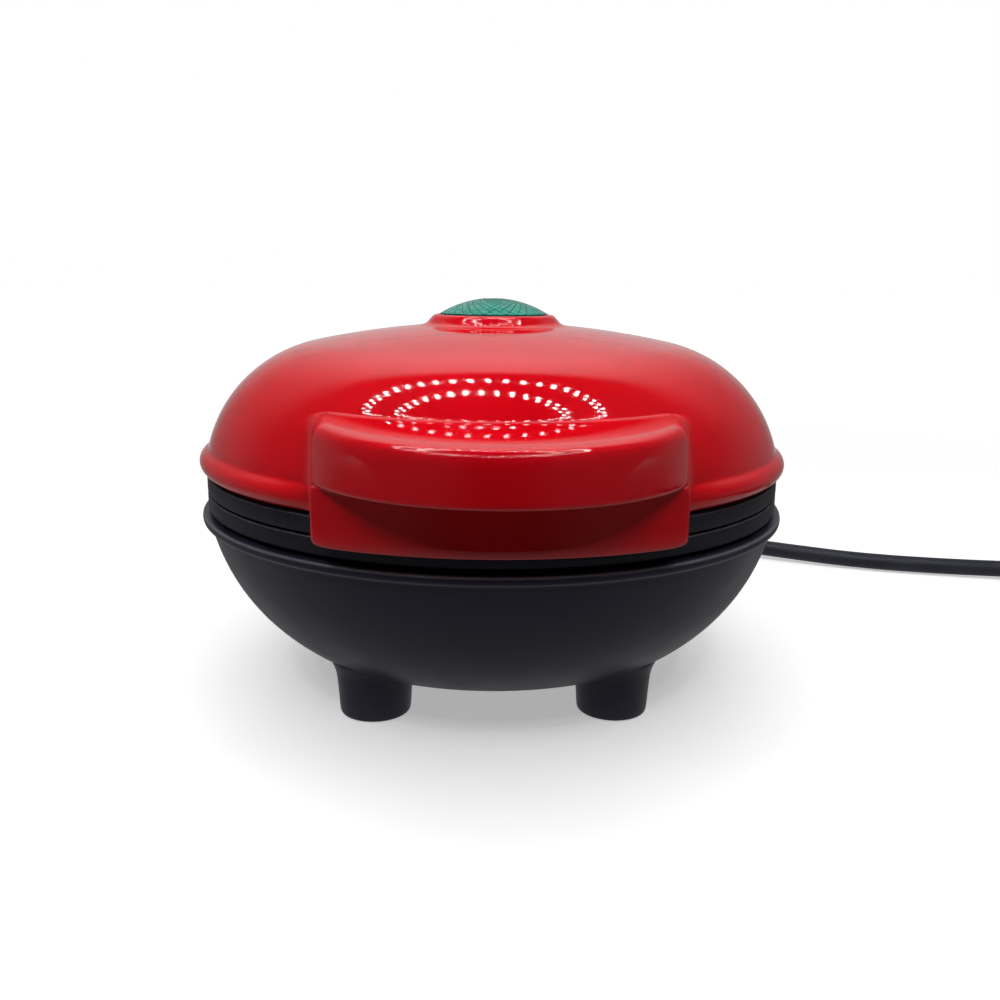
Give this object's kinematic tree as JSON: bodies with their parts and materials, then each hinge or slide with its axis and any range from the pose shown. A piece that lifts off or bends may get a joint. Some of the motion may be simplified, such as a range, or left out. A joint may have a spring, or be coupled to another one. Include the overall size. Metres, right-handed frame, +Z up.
{
  "type": "donut maker",
  "caption": "Small countertop donut maker: domed red lid with a front handle and a green indicator lens, hinged on a black bowl-shaped base with round feet and a power cord.",
  "frame": {"origin": "on the table under the middle of the object without its cord", "axes": "+Z up, -Y towards the user and the handle, +Y towards the hinge and the cord exit, +X to the user's right"},
  "size_m": [0.2925, 0.2086, 0.085],
  "materials": {
    "red_shell": "polished",
    "black_shell": "satin",
    "nonstick_black": "textured black non-stick coat on die-cast aluminium",
    "lens_green": "translucent, faceted",
    "pad_rubber": "matte",
    "element_steel": "heat-tinted sheath",
    "shield_sheet": "plain sheet",
    "screw_steel": "zinc-plated",
    "white_body": "plain",
    "lamp_glass": "clear",
    "cord_black": "satin",
    "tie_black": "matte",
    "blade_brass": "bright"
  },
  "bodies": {
    "base": {"lower_housing": "black_shell", "foot_pads": "pad_rubber", "lower_plate": "nonstick_black", "lower_heating_element": "element_steel", "lower_heat_shield": "shield_sheet", "lower_plate_screws": "screw_steel", "thermostat": "shield_sheet", "thermal_fuse": "white_body", "terminal_block": "white_body", "lead_wires": "cord_black", "hinge_pin": "screw_steel", "strain_relief": "cord_black", "power_cord": "cord_black", "cord_coil": "cord_black", "coil_tie": "tie_black", "plug_body": "cord_black", "plug_blades": "blade_brass"},
    "lid": {"upper_housing": "red_shell", "indicator_lens": "lens_green", "lamp_holder": "white_body", "neon_lamp": "lamp_glass", "upper_plate": "nonstick_black", "upper_heating_element": "element_steel", "upper_heat_shield": "shield_sheet", "upper_plate_screws": "screw_steel"}
  },
  "joints": [
    {"name": "lid_hinge", "type": "hinge", "parent": "base", "child": "lid", "pos_m": [0, 0.072, 0.0435], "axis": [-1, 0, 0], "range_deg": [0, 100]}
  ]
}
